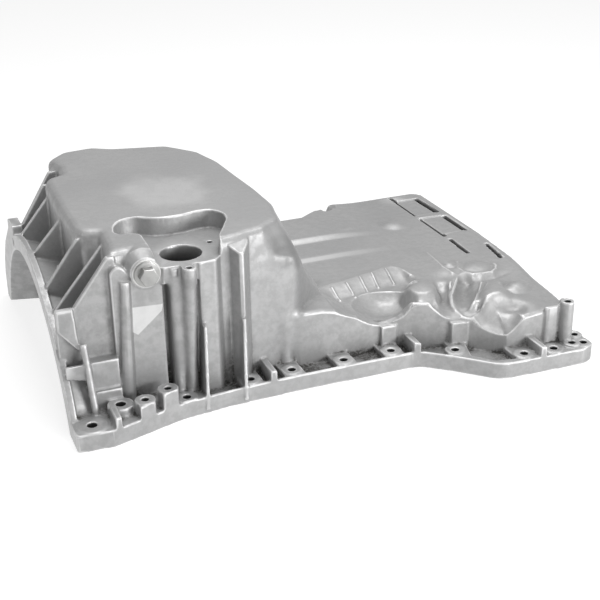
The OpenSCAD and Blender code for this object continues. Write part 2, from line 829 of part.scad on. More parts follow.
module drain_plug() {
    color(plug_grey)
        translate([plug_at[0] * kx, plug_at[1] * ky - washer_t, plug_at[2] * ks])
            rotate([90, 0, 0]) {
                translate([0, 0, -24])
                    cylinder(h = 25, r = plug_d / 2);
                cylinder(h = 2.4, r = plug_flange_d / 2);
                cylinder(h = 2.4 + plug_hex_h, r = plug_af / 2 / cos(30), $fn = 6);
            }
}

module drain_plug_washer() {
    color(copper)
        translate([plug_at[0] * kx, plug_at[1] * ky, plug_at[2] * ks])
            rotate([90, 0, 0])
                difference() {
                    cylinder(h = washer_t, r = washer_d / 2);
                    translate([0, 0, -overlap])
                        cylinder(h = washer_t + 2 * overlap, r = plug_d / 2 + plug_gap);
                }
}

module placed() {
    translate([-pan_l / 2, -pan_w / 2, 0])
        children();
}

placed() pan_casting();
placed() drain_plug();
placed() drain_plug_washer();
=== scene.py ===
# Looks of the cast aluminium oil pan: its casting with rounded cast edges and a sculpted
# floor, the drain plug and its washer, on a white floor in soft studio light.
import math

import bmesh
import bpy
import numpy as np
from mathutils import Matrix, Vector
from mathutils.kdtree import KDTree


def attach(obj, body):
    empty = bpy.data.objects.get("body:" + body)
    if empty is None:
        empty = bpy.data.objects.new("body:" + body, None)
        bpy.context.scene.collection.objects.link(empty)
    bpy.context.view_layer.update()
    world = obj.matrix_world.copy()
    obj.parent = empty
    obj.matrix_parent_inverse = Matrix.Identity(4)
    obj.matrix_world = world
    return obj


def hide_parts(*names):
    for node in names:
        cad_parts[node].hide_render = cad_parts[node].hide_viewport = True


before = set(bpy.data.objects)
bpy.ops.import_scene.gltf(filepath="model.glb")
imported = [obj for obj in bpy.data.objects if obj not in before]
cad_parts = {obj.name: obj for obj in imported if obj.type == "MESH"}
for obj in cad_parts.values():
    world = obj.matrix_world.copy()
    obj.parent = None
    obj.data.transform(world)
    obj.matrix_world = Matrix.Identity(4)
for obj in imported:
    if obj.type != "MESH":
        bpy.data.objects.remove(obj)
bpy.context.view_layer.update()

MM = 0.001
# Offset from the nominal layout, whose corner is the bell-housing end's near corner
LAYOUT = np.array([252.5, 182.5, 0.0])

# Camera, measured from the photograph's perspective
CAMERA_AT = (-0.39075, -1.04854, 0.53366)
CAMERA_PITCH = -24.58
CAMERA_YAW = 21.77
CAMERA_ROLL = 0.877
CAMERA_LENS = 69.8
SENSOR_WIDTH = 36.0

# Outline on the floor under the pan that lies in its own shade, in layout millimetres
UNDER_PAN = [
    (3, 3), (33, 2), (100, 23), (149, 29), (217, 31), (334, 29.8), (347, 26), (374, 3), (398, -21),
    (416, -27), (492, -29.5), (501, -26), (501, 391), (492, 394.5), (416, 392), (398, 386), (374, 362),
    (347, 339), (334, 335.2), (217, 334), (149, 336), (110, 340), (110, 36), (3, 28),
]

# Width of the layout, over which the far side mirrors the near one
LAYOUT_WIDTH = 365

# Bore of the level sensor, its face and the circle of its screws
SENSOR_AT = (121.5, 71)
SENSOR_FACE = 140
SENSOR_SCREWS_R = 35.5

# Seat of the drain plug on its boss
PLUG_SEAT = (82.5, 46, 136.5)

# Painted highlight, a pale reflection on the panel under the plug, as (x, z)
PAINTED_PANEL_HIGHLIGHT = [(66.5, 82.5), (71.5, 78.5), (94.5, 98), (96, 104.5), (68, 106)]

# Milled pads of the rail as (x, y, height)
PADS = [
    (107.5, 29, 17.7), (172, 38, 17.7), (214, 40, 17.7), (267, 38.5, 17.7), (317, 38, 17.7),
    (375, 14.5, 17.7), (432, -19, 17.7), (464, -21, 17.7), (497.5, -21.5, 17.7),
    (485, -20.5, 19.3), (497.5, -6, 19.3), (66.5, 18.5, 29.5), (89.2, 24, 33), (17, 14, 17.5),
    (46.5, 28, 24.5), (484, -9.5, 59),
]

# Casting mesh
VOXEL = 1.0 * MM
MOST_TRIANGLES = 195000


def studio_camera():
    """The camera at the photograph's angle."""
    camera = bpy.data.objects.new("camera", bpy.data.cameras.new("camera"))
    bpy.context.scene.collection.objects.link(camera)
    camera.data.lens = CAMERA_LENS
    camera.data.sensor_width = SENSOR_WIDTH
    camera.data.clip_start = 0.05
    camera.data.clip_end = 50
    yaw, pitch, roll = (math.radians(a) for a in (CAMERA_YAW, CAMERA_PITCH, CAMERA_ROLL))
    turn = Matrix.Rotation(-yaw, 4, "Z") @ Matrix.Rotation(math.pi / 2 + pitch, 4, "X")
    camera.matrix_world = Matrix.Translation(CAMERA_AT) @ turn @ Matrix.Rotation(-roll, 4, "Z")
    bpy.context.scene.camera = camera


def area_lamp(name, at, size, watts):
    """A soft box that looks at the middle of the pan."""
    lamp = bpy.data.objects.new(name, bpy.data.lights.new(name, "AREA"))
    bpy.context.scene.collection.objects.link(lamp)
    lamp.data.shape = "RECTANGLE"
    lamp.data.size, lamp.data.size_y = size
    lamp.data.energy = watts
    lamp.location = at
    aim = Vector((0.0, 0.0, 0.06)) - Vector(at)
    lamp.rotation_mode = "QUATERNION"
    lamp.rotation_quaternion = aim.to_track_quat("-Z", "Y")


def add(nodes, kind, **settings):
    """A shader node with some of its settings."""
    made = nodes.new(kind)
    for key, value in settings.items():
        setattr(made, key, value)
    return made


def seen_background(nodes, links):
    """One where a ray from the camera, a reflection or glass meets the background."""
    path = add(nodes, "ShaderNodeLightPath")
    first = add(nodes, "ShaderNodeMath", operation="MAXIMUM")
    second = add(nodes, "ShaderNodeMath", operation="MAXIMUM")
    links.new(path.outputs["Is Camera Ray"], first.inputs[0])
    links.new(path.outputs["Is Glossy Ray"], first.inputs[1])
    links.new(first.outputs[0], second.inputs[0])
    links.new(path.outputs["Is Transmission Ray"], second.inputs[1])
    return second.outputs[0]


def studio():
    """White floor and world, plain soft lamps."""
    bpy.context.scene.view_settings.view_transform = "Standard"
    area_lamp("top_lamp", (0.15, 0.0, 1.6), (1.2, 1.0), 16)
    area_lamp("front_lamp", (1.15, -1.95, 0.5), (0.9, 0.5), 27)

    world = bpy.data.worlds.new("studio")
    bpy.context.scene.world = world
    world.use_nodes = True
    tree = world.node_tree
    tree.nodes.clear()
    pale = add(tree.nodes, "ShaderNodeBackground")
    pale.inputs["Color"].default_value = (1, 1, 1, 1)
    pale.inputs["Strength"].default_value = 0.62
    dim = add(tree.nodes, "ShaderNodeBackground")
    dim.inputs["Color"].default_value = (1, 1, 1, 1)
    dim.inputs["Strength"].default_value = 0.22
    mix = add(tree.nodes, "ShaderNodeMixShader")
    out = add(tree.nodes, "ShaderNodeOutputWorld")
    tree.links.new(seen_background(tree.nodes, tree.links), mix.inputs["Fac"])
    tree.links.new(dim.outputs[0], mix.inputs[1])
    tree.links.new(pale.outputs[0], mix.inputs[2])
    tree.links.new(mix.outputs[0], out.inputs["Surface"])

    bm = bmesh.new()
    bmesh.ops.create_grid(bm, x_segments=1, y_segments=1, size=6.0)
    mesh = bpy.data.meshes.new("floor")
    bm.to_mesh(mesh)
    bm.free()
    floor = bpy.data.objects.new("floor", mesh)
    bpy.context.scene.collection.objects.link(floor)
    floor.data.materials.append(floor_material())

    # Dark sheet on the floor under the pan: painted shade where the pan's own shade falls.
    bm = bmesh.new()
    shade_line = [(c - LAYOUT[:2]) * MM for c in np.array(UNDER_PAN, float)]
    bm.faces.new([bm.verts.new((x, y, 0.1 * MM)) for x, y in shade_line])
    mesh = bpy.data.meshes.new("floor_shade")
    bm.to_mesh(mesh)
    bm.free()
    shade = bpy.data.objects.new("floor_shade", mesh)
    bpy.context.scene.collection.objects.link(shade)
    material, tree, shader = new_material("shade_under_pan")
    shader.inputs["Base Color"].default_value = (0.03, 0.03, 0.03, 1)
    shader.inputs["Roughness"].default_value = 0.9
    shade.data.materials.append(material)


def floor_material():
    """White where it is seen, with the pan's soft shadow left on it."""
    material = bpy.data.materials.new("white_floor")
    material.use_nodes = True
    tree = material.node_tree
    tree.nodes.clear()
    matt = add(tree.nodes, "ShaderNodeBsdfDiffuse")
    matt.inputs["Color"].default_value = (0.45, 0.45, 0.45, 1)
    glow = add(tree.nodes, "ShaderNodeEmission")
    glow.inputs["Strength"].default_value = 0.78
    both = add(tree.nodes, "ShaderNodeAddShader")
    mix = add(tree.nodes, "ShaderNodeMixShader")
    plain = add(tree.nodes, "ShaderNodeBsdfDiffuse")
    plain.inputs["Color"].default_value = (0.7, 0.7, 0.7, 1)
    out = add(tree.nodes, "ShaderNodeOutputMaterial")
    link = tree.links.new
    link(matt.outputs[0], both.inputs[0])
    link(glow.outputs[0], both.inputs[1])
    link(seen_background(tree.nodes, tree.links), mix.inputs["Fac"])
    link(plain.outputs[0], mix.inputs[1])
    link(both.outputs[0], mix.inputs[2])
    link(mix.outputs[0], out.inputs["Surface"])
    return material


# Heights of the sculpted floor, in the layout's millimetres

def ease(v, a, b):
    """Nought below a, one above b and a smooth slope between them."""
    t = np.clip((v - a) / (b - a), 0, 1)
    return t * t * (3 - 2 * t)


def line(x, *points):
    """Straight line from point to point."""
    return np.interp(x, [p[0] for p in points], [p[1] for p in points])


def near_wall(x):
    """Line of the near wall's top edge."""
    return line(
        x, (200, 59), (216, 59), (222, 55), (322, 54), (345, 46), (380, 31), (397, 23), (412, 8),
        (424, -1), (440, -4), (510, -4),
    )


def far_wall(x):
    """Line of the far wall's top edge."""
    return LAYOUT_WIDTH - line(x, (200, 55), (333, 54), (366, 28), (388, 14), (510, 13))


def end_wall(y):
    """Line of the slanted end wall."""
    return line(y, (-10, 489), (9, 490.5), (41, 494), (82, 497.5), (124, 501), (190, 504.5))


def wall_edge(x):
    """Height of the near wall's top edge."""
    return line(
        x, (220, 66), (255, 65.5), (262, 64.8), (270, 59), (279, 54.8), (288, 51.5), (293, 48),
        (302, 42.5), (313, 38.7), (321, 39.3), (331, 43.6), (337, 48), (342.5, 56), (345, 59),
        (360, 59), (362.5, 55), (370, 47.5), (375, 44.2), (382, 42.2), (390, 41), (396, 41.2),
        (404.5, 35.8), (411.5, 32.3), (418.5, 31), (422, 30), (430, 37.4), (439, 48.1),
        (462, 50.2), (500, 50.5),
    )


def channel_top(x):
    """Upper line of the ribbed channel."""
    return line(
        x, (260, 114), (278, 121), (292, 126), (304, 127.3), (322, 132.5), (337, 135.8), (350, 140),
        (362, 143), (371, 141.5), (380, 136),
    )


def channel_foot(x):
    """Lower line of the ribbed channel."""
    return line(x, (260, 92), (284, 98), (309, 99.5), (325, 105), (340, 109.5), (360, 107), (380, 102))


# Bowls and domes as (x, y, reach along, reach across, turn, middle, rim, softness)
PATCHES = [
    (328, 75, 34, 30, 0, 36, 49.3, 0.1),
    (389, 62, 38, 11, 70, 43, 49, 0.3),
    (370, 79, 22, 17, 66, 61.5, 57.5, 0.3),
    (407, 98, 12, 9, 15, 52.5, 52, 0.9),
    (410, 64, 36, 14, 58, 43, 49, 0.14),
    (431, 40, 37, 17, 58, 61.5, 55.5, 0.4),
    (441, 14, 13, 12, 0, 49, 50, 0.8),
    (420, 8, 22, 15, 15, 50, 40, 0.6),
    (428, 70, 16, 6.5, 60, 51.5, 48.5, 0.8),
    (464, 50, 17, 12, 20, 58.5, 53, 0.3),
    (455, 82, 22, 6, 14, 50.5, 52, 0.7),
    (450, 108, 17, 13, 12, 58.5, 55.5, 0.3),
    (426, 121, 8, 6, -50, 58, 54.5, 0.4),
    (366, 262, 10, 8, 0, 60, 61, 0.8),
    (424, 252, 10, 9, 0, 59, 60, 0.8),
    (376, 338, 9, 12, 0, 46, 50, 0.5),
]

# Creases as (half width, (x, y, height) points on the floor)
CREASES = [
    (2.0, [(262, 115, 57), (278, 121.5, 57), (292, 126.2, 57), (304, 127.5, 57), (322, 132.7, 57),
           (337, 136, 57), (350, 140, 57), (360.5, 143, 57), (368, 142.5, 57), (374, 137, 56.7),
           (376.5, 126, 56.5), (377.5, 116, 56.5)]),
    (1.8, [(294, 88, 50), (297, 97, 50), (308, 103, 50), (324.6, 104.5, 50), (336, 102.3, 50),
           (350, 97, 50), (358, 88, 51)]),
    (2.4, [(434, 119, 56), (424, 102, 54.5), (417, 91, 53.3), (407, 78, 52), (398, 66, 50.5),
           (391, 52, 49), (388.5, 39, 46.5), (390.5, 29, 44), (397, 24.5, 42.5)]),
    (2.4, [(437.3, 125, 57), (430, 111, 57), (431, 100.5, 57), (437, 91.5, 57), (447, 89.3, 57),
           (457, 88.6, 57), (465, 94, 57), (469.5, 101, 57), (471, 108, 56.5)]),
    (2.0, [(421.4, 162, 56), (419.2, 135.5, 56.5), (417.6, 120, 56.5), (420, 104, 56)]),
    (2.2, [(396, 23.5, 42), (403, 27, 43.8), (410, 31, 45.5)]),
    (1.6, [(437, 74, 54.5), (424, 56, 54.5), (410.5, 37, 54)]),
]
CHANNEL_RIBS = [
    [(289.6, 97), (289.6, 118)], [(307.7, 99.5), (307.7, 122)], [(324, 105), (326, 132)],
    [(338.5, 111), (341.5, 136)], [(357, 113), (360, 142)],
]


def nearest_on(points, x, y):
    """Distance from each place to a line through the points, and the line's height there."""
    least = np.full(x.shape, 1e9)
    height = np.zeros(x.shape)
    for (ax, ay, az), (bx, by, bz) in zip(points, points[1:]):
        dx, dy = bx - ax, by - ay
        t = np.clip(((x - ax) * dx + (y - ay) * dy) / (dx * dx + dy * dy), 0, 1)
        away = np.hypot(x - ax - t * dx, y - ay - t * dy)
        closer = away < least
        least = np.where(closer, away, least)
        height = np.where(closer, az + t * (bz - az), height)
    return least, height


def distance_to(points, x, y):
    """Distance from each place to a line through the points."""
    return nearest_on([(px, py, 0) for px, py in points], x, y)[0]


def floor_height(x, y):
    """Height of the shallow floor's outside with its fine forms."""
    left = 1 - ease(x, 330, 430)
    bank = (1 - ease(x, 262, 292)) * (1 - ease(y, 75, 125))
    corner = ease(x, 436, 470) * (1 - ease(y, 60, 120))
    reach = ease(x, 268, 290) * (1 - ease(x, 370, 381))
    slope = ease(y, channel_foot(x), channel_top(x))
    z = 55 + left * (1.5 + 2 * ease(y, 182, 200) + 3 * ease(y, 232, 244)) + 8 * bank
    z = z - 4 * corner - reach * 7 * (1 - slope)
    for px, py, along, across, turn, middle, rim, soft in PATCHES:
        c, s = math.cos(math.radians(turn)), math.sin(math.radians(turn))
        u, v = x - px, y - py
        r = np.hypot((u * c + v * s) / along, (v * c - u * s) / across)
        w = 1 - ease(r, 1 - soft, 1 + soft)
        z = z + (middle + (rim - middle) * np.minimum(r * r, 1.6) - z) * w
    d = y - near_wall(x)
    f = far_wall(x) - y
    edge = wall_edge(x)
    z = edge + (z - edge) * ease(d, 0, 24)
    z = z - 1.5 * (1 - ease(d, 0, 4)) - 4 * (1 - ease(f, 0, 8)) - 2 * (1 - ease(end_wall(y) - x, 0, 7))
    for rib in CHANNEL_RIBS:
        z = z + 1.7 * np.exp(-(distance_to(rib, x, y) / 1.3) ** 2)
    for width, points in CREASES:
        away, height = nearest_on(points, x, y)
        wide, narrow = np.exp(-(away / (2.6 * width)) ** 2), np.exp(-(away / width) ** 2)
        z = z + (height - z) * (0.45 * wide + 0.55 * narrow)
    return z


def sculpt_floor(mesh):
    """Moves the shallow floor's outside to its fine forms."""
    co = vertex_places(mesh)
    normals = vertex_normals(mesh)
    p = co / MM + LAYOUT
    x, y, z = p.T
    inside = (x > 262) & (x < end_wall(y) - 2) & (y > near_wall(x) + 0.8) & (y < far_wall(x) - 3)
    inside &= (z > 26) & (z < 68) & (normals[:, 2] > -0.1)
    inside &= ~((x > 452) & (y > 118)) & ~((x < 300) & (z > 62))
    spots = np.nonzero(inside)[0]
    x, y, z = p[spots].T
    target = floor_height(x, y)
    off = target - z
    fade = ease(x, 262, 276) * (1 - ease(x - end_wall(y), -8, -3)) * (1 - ease(y, 300, 330))
    fade = fade * (1 - ease(x, 444, 452) * ease(y, 106, 114)) * (1 - ease(np.abs(off), 10, 15))
    co[spots, 2] += off * fade * MM
    mesh.vertices.foreach_set("co", co.astype(np.float32).ravel())
    mesh.update()


# Finished pieces

def place(name, mesh, node):
    """A finished piece that rides on the pan's one body and stands for a CAD node."""
    piece = bpy.data.objects.new(name, mesh)
    bpy.context.scene.collection.objects.link(piece)
    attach(piece, "root")
    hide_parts(node)


def with_modifiers(mesh, *modifiers):
    """The mesh after modifiers given as (type, settings)."""
    carrier = bpy.data.objects.new("carrier", mesh)
    bpy.context.scene.collection.objects.link(carrier)
    for kind, settings in modifiers:
        modifier = carrier.modifiers.new(kind.lower(), kind)
        for key, value in settings.items():
            setattr(modifier, key, value)
    bpy.context.view_layer.update()
    graph = bpy.context.evaluated_depsgraph_get()
    made = bpy.data.meshes.new_from_object(carrier.evaluated_get(graph))
    bpy.data.objects.remove(carrier)
    return made


def merged_copy(node):
    """A copy of a CAD node's mesh with its loose triangles joined."""
    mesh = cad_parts[node].data.copy()
    bm = bmesh.new()
    bm.from_mesh(mesh)
    bmesh.ops.remove_doubles(bm, verts=bm.verts, dist=0.002 * MM)
    bm.to_mesh(mesh)
    bm.free()
    mesh.materials.clear()
    return mesh


def vertex_places(mesh):
    """Places of a mesh's vertices, one row each."""
    co = np.empty(len(mesh.vertices) * 3, np.float32)
    mesh.vertices.foreach_get("co", co)
    return co.reshape(-1, 3).astype(float)


def vertex_normals(mesh):
    """Normals of a mesh's vertices, one row each."""
    n = np.empty(len(mesh.vertices) * 3, np.float32)
    mesh.vertices.foreach_get("normal", n)
    return n.reshape(-1, 3).astype(float)


def smoothed(places, pairs, degree, rounds, factor=0.7):
    """Places after some rounds of averaging with their neighbours."""
    p = places.copy()
    a, b = pairs.T
    count = len(p)
    for _ in range(rounds):
        for axis in range(3):
            total = np.bincount(a, p[b, axis], count) + np.bincount(b, p[a, axis], count)
            p[:, axis] += factor * (total / degree - p[:, axis])
    return p


def links_of(mesh):
    """Pairs of joined vertices, and how many neighbours each vertex has."""
    pairs = np.empty(len(mesh.edges) * 2, np.int32)
    mesh.edges.foreach_get("vertices", pairs)
    degree = np.maximum(np.bincount(pairs, minlength=len(mesh.vertices)), 1)
    return pairs.reshape(-1, 2), degree


def soften_forms(mesh):
    """Rounds the shoulder's step and the bulge under the sensor as a sand core leaves them."""
    co = vertex_places(mesh)
    x, y, z = (co / MM + LAYOUT).T
    shoulder = ease(x, 196, 204) * (1 - ease(x, 246, 262)) * ease(y, 50, 56) * (1 - ease(y, 100, 120))
    shoulder = shoulder * ease(z, 66, 84) * (1 - ease(z, 150, 156))
    bulge = ease(x, 97, 101) * (1 - ease(x, 122, 125)) * ease(y, 20, 26) * (1 - ease(y, 54, 57))
    bulge = bulge * ease(z, 28, 44) * (1 - ease(z, 126, 133)) * 0.75
    band = ease(x, 196, 202) * (1 - ease(x, 228, 236)) * (1 - ease(y, 66, 72)) * ease(z, 24, 30)
    band = band * (1 - ease(z, 84, 100)) * 0.7
    weight = np.maximum(np.maximum(shoulder, bulge), band)
    near = np.nonzero(weight > 0)[0]
    pairs, full = links_of(mesh)
    number = np.full(len(co), -1)
    number[near] = np.arange(len(near))
    pairs = number[pairs]
    pairs = pairs[(pairs >= 0).all(axis=1)]
    degree = np.bincount(pairs.ravel(), minlength=len(near))
    held = weight[near] * (degree == full[near])
    soft = smoothed(co[near], pairs, np.maximum(degree, 1), round(60 * (1 * MM / VOXEL) ** 2), 0.7 * held)
    co[near] = soft
    mesh.vertices.foreach_set("co", co.astype(np.float32).ravel())
    mesh.update()


def surface_bends(mesh):
    """How far each vertex stands out of, or lies in, the surface round it, at two widths."""
    pairs, degree = links_of(mesh)
    places = vertex_places(mesh)
    normals = vertex_normals(mesh)
    rounds = 1 * MM / VOXEL
    fine = smoothed(places, pairs, degree, max(1, round(5 * rounds)))
    broad = smoothed(fine, pairs, degree, round(70 * rounds ** 2))
    fine_bend = np.einsum("ij,ij->i", fine - places, normals) / MM
    broad_bend = np.einsum("ij,ij->i", broad - places, normals) / MM
    return fine_bend, broad_bend


def carry_over(dense_places, values, mesh, names):
    """Gives the mesh each value of its nearest dense vertex as an attribute."""
    tree = KDTree(len(dense_places))
    for k, place_of in enumerate(dense_places):
        tree.insert(place_of, k)
    tree.balance()
    nearest = np.array([tree.find(v.co)[1] for v in mesh.vertices])
    for name, value in zip(names, values):
        layer = mesh.attributes.new(name, "FLOAT", "POINT")
        layer.data.foreach_set("value", value[nearest].astype(np.float32))


def machined_mask(mesh):
    """One on the milled faces: gasket face, arch rim, sensor face, pads and plug face."""
    p = vertex_places(mesh) / MM + LAYOUT
    n = vertex_normals(mesh)
    x, y, z = p.T
    up, down = n[:, 2] > 0.97, n[:, 2] < -0.97
    from_sensor = np.hypot(x - SENSOR_AT[0], y - SENSOR_AT[1])
    plug_x, plug_y, plug_z = PLUG_SEAT
    mask = (down & (z < 0.6)).astype(float)
    mask[(n[:, 0] < -0.97) & (x < 0.6)] = 1
    mask[up & (np.abs(z - SENSOR_FACE) < 0.6) & (from_sensor < 30)] = 1
    mask[(z > SENSOR_FACE - 5.5) & (z < SENSOR_FACE) & (from_sensor < 20.5)] = 1
    for at_x, at_y, top in PADS:
        for side in (at_y, LAYOUT_WIDTH - at_y):
            mask[up & (np.abs(z - top) < 0.7) & (np.hypot(x - at_x, y - side) < 10.5)] = 1
    boss = (np.hypot(x - plug_x, z - plug_z) < 14.5) & (np.abs(y - plug_y) < 1)
    mask[boss & (n[:, 1] < -0.9)] = 1
    return mask


def bore_mask(mesh):
    """One inside the holes, which are painted nearly black as shade."""
    p = vertex_places(mesh) / MM + LAYOUT
    x, y, z = p.T
    mask = np.zeros(len(p))
    for at_x, at_y, top in PADS:
        for side in (at_y, LAYOUT_WIDTH - at_y):
            mask[(np.hypot(x - at_x, y - side) < 5) & (z < top - 0.9) & (z > 0.8)] = 1
    from_sensor = np.hypot(x - SENSOR_AT[0], y - SENSOR_AT[1])
    mask[(from_sensor < 20) & (z < SENSOR_FACE - 6) & (z > SENSOR_FACE - 22)] = 0.8
    for k in range(3):
        turn = math.radians(-95 + 120 * k)
        at_x = SENSOR_AT[0] + SENSOR_SCREWS_R * math.cos(turn)
        at_y = SENSOR_AT[1] + SENSOR_SCREWS_R * math.sin(turn)
        mask[(np.hypot(x - at_x, y - at_y) < 3.6) & (z < SENSOR_FACE - 0.8) & (z > SENSOR_FACE - 13)] = 1
    return mask


def casting():
    """The casting remade with rounded roots and edges and its finer floor."""
    mesh = merged_copy("pan_casting")
    mesh = with_modifiers(
        mesh,
        ("REMESH", dict(mode="VOXEL", voxel_size=VOXEL, adaptivity=0.0)),
        ("SMOOTH", dict(factor=0.5, iterations=4)),
    )
    sculpt_floor(mesh)
    soften_forms(mesh)
    dense_places = vertex_places(mesh)
    bends = surface_bends(mesh)
    triangles = 2 * len(mesh.polygons)
    if triangles > MOST_TRIANGLES:
        mesh = with_modifiers(
            mesh, ("DECIMATE", dict(ratio=MOST_TRIANGLES / triangles, use_collapse_triangulate=True))
        )
    carry_over(dense_places, bends, mesh, ("fine_bend", "broad_bend"))
    for name, mask in (("machined", machined_mask), ("bore", bore_mask)):
        layer = mesh.attributes.new(name, "FLOAT", "POINT")
        layer.data.foreach_set("value", mask(mesh).astype(np.float32))
    mesh.shade_smooth()
    mesh.materials.append(cast_material())
    place("casting", mesh, "pan_casting")


def extruded_disc(bm, radius, segments, foot, height, bevel, turn=0.0):
    """A disc or hexagon drawn up from the seat, with its outer rim chamfered."""
    ring = bmesh.ops.create_circle(
        bm, cap_ends=True, segments=segments, radius=radius * MM,
        matrix=Matrix.Translation((0, 0, foot * MM)) @ Matrix.Rotation(turn, 4, "Z"),
    )["verts"]
    base = ring[0].link_faces[0]
    raised = bmesh.ops.extrude_face_region(bm, geom=[base], use_keep_orig=True)["geom"]
    top = [v for v in raised if isinstance(v, bmesh.types.BMVert)]
    bmesh.ops.translate(bm, verts=top, vec=(0, 0, height * MM))
    rims = [e for e in raised if isinstance(e, bmesh.types.BMEdge)]
    bmesh.ops.bevel(
        bm, geom=rims, offset=bevel * MM, offset_type="OFFSET", segments=2, profile=0.5,
        affect="EDGES", material=-1,
    )


def plug_mesh(name, bm):
    """Puts a piece made along Z at the plug's seat and turns it to face the near side."""
    seat = (np.array(PLUG_SEAT) - LAYOUT) * MM
    bm.transform(Matrix.Translation(seat) @ Matrix.Rotation(math.radians(90), 4, "X"))
    bmesh.ops.recalc_face_normals(bm, faces=bm.faces)
    mesh = bpy.data.meshes.new(name)
    bm.to_mesh(mesh)
    bm.free()
    mesh.shade_smooth()
    mesh.set_sharp_from_angle(angle=math.radians(24))
    return mesh


def drain_plug():
    """Hexagon flange plug with a chamfered head, a low collar and a plain shank."""
    bm = bmesh.new()
    extruded_disc(bm, 7.0, 48, -22.4, 25.0, 0.3)
    extruded_disc(bm, 11.5, 96, 1.6, 2.4, 0.5)
    extruded_disc(bm, 8.2, 64, 3.9, 0.8, 0.3)
    extruded_disc(bm, 7.5 / math.cos(math.radians(30)), 6, 3.0, 9.0, 0.7, math.radians(30))
    mesh = plug_mesh("plug", bm)
    mesh.materials.append(steel_material())
    place("plug", mesh, "drain_plug")


def drain_plug_washer():
    """Flat sealing washer with softened rims."""
    bm = bmesh.new()
    bmesh.ops.create_grid(
        bm, x_segments=1, y_segments=1, size=0.5,
        matrix=Matrix.Translation((10.1 * MM, 0, 0.8 * MM))
        @ Matrix.Rotation(math.radians(90), 4, "X") @ Matrix.Diagonal((5.8 * MM, 1.6 * MM, 1, 1)),
    )
    bmesh.ops.bevel(
        bm, geom=list(bm.verts), offset=0.3 * MM, offset_type="OFFSET", segments=1, profile=0.5,
        affect="VERTICES", material=-1,
    )
    section = list(bm.faces)
    bmesh.ops.delete(bm, geom=section, context="FACES_ONLY")
    bmesh.ops.spin(
        bm, geom=list(bm.verts) + list(bm.edges), cent=(0, 0, 0), axis=(0, 0, 1),
        angle=math.radians(360), steps=96, use_merge=True,
    )
    mesh = plug_mesh("washer", bm)
    mesh.materials.append(washer_material())
    place("washer", mesh, "drain_plug_washer")


# Shared shader groups

def new_group(name, inputs, outputs):
    """An empty shader group with its sockets, each given as (type, name, value)."""
    group = bpy.data.node_groups.new(name, "ShaderNodeTree")
    for kind, socket_name, value in inputs:
        socket = group.interface.new_socket(socket_name, in_out="INPUT", socket_type=kind)
        if value is not None:
            socket.default_value = value
    for kind, socket_name in outputs:
        group.interface.new_socket(socket_name, in_out="OUTPUT", socket_type=kind)
    start = add(group.nodes, "NodeGroupInput")
    end = add(group.nodes, "NodeGroupOutput")
    return group, start, end


def noise(group, vector, scale, detail, roughness=0.5):
    """Value of a noise pattern at a vector."""
    made = add(group.nodes, "ShaderNodeTexNoise")
    made.inputs["Detail"].default_value = detail
    made.inputs["Roughness"].default_value = roughness
    group.links.new(vector, made.inputs["Vector"])
    if isinstance(scale, (int, float)):
        made.inputs["Scale"].default_value = scale
    else:
        group.links.new(scale, made.inputs["Scale"])
    return made.outputs["Fac"]


def spread(group, value, low, high, to_low=0.0, to_high=1.0):
    """The value between low and high drawn out to a new range, clamped."""
    made = add(group.nodes, "ShaderNodeMapRange", clamp=True, interpolation_type="SMOOTHSTEP")
    for name, number in zip(("From Min", "From Max", "To Min", "To Max"), (low, high, to_low, to_high)):
        made.inputs[name].default_value = number
    group.links.new(value, made.inputs["Value"])
    return made.outputs["Result"]


def maths(group, operation, *values):
    """Result of a Math node on numbers or sockets."""
    made = add(group.nodes, "ShaderNodeMath", operation=operation)
    for k, value in enumerate(values):
        if isinstance(value, (int, float)):
            made.inputs[k].default_value = value
        else:
            group.links.new(value, made.inputs[k])
    return made.outputs[0]


def skin_group():
    """Uneven tone and fine relief of a metal skin."""
    group, start, end = new_group(
        "metal_skin",
        [
            ("NodeSocketVector", "Vector", None),
            ("NodeSocketFloat", "Grain Scale", 700.0),
            ("NodeSocketFloat", "Blotch Scale", 14.0),
        ],
        [("NodeSocketFloat", "Blotch"), ("NodeSocketFloat", "Mottle"), ("NodeSocketFloat", "Height")],
    )
    vector = start.outputs["Vector"]
    blotch = noise(group, vector, start.outputs["Blotch Scale"], 3, 0.55)
    mottle = noise(group, vector, 110.0, 4, 0.65)
    grain = noise(group, vector, start.outputs["Grain Scale"], 2, 0.6)
    group.links.new(spread(group, blotch, 0.33, 0.67), end.inputs["Blotch"])
    group.links.new(spread(group, mottle, 0.3, 0.7), end.inputs["Mottle"])
    group.links.new(maths(group, "ADD", maths(group, "MULTIPLY", mottle, 0.6), grain), end.inputs["Height"])
    return group


def rubbed_highlit_edge_group():
    """Rubbed edges with a painted highlight on them, broken up by noise."""
    group, start, end = new_group(
        "rubbed_and_highlit_edges",
        [
            ("NodeSocketVector", "Vector", None),
            ("NodeSocketFloat", "Bend", 0.0),
            ("NodeSocketFloat", "Amount", 1.0),
        ],
        [("NodeSocketFloat", "Mask")],
    )
    broken = spread(group, noise(group, start.outputs["Vector"], 60.0, 3), 0.25, 0.6, 0.45, 1.0)
    sharp = spread(group, start.outputs["Bend"], -0.08, -0.28)
    mask = maths(group, "MULTIPLY", maths(group, "MULTIPLY", sharp, broken), start.outputs["Amount"])
    group.links.new(mask, end.inputs["Mask"])
    return group


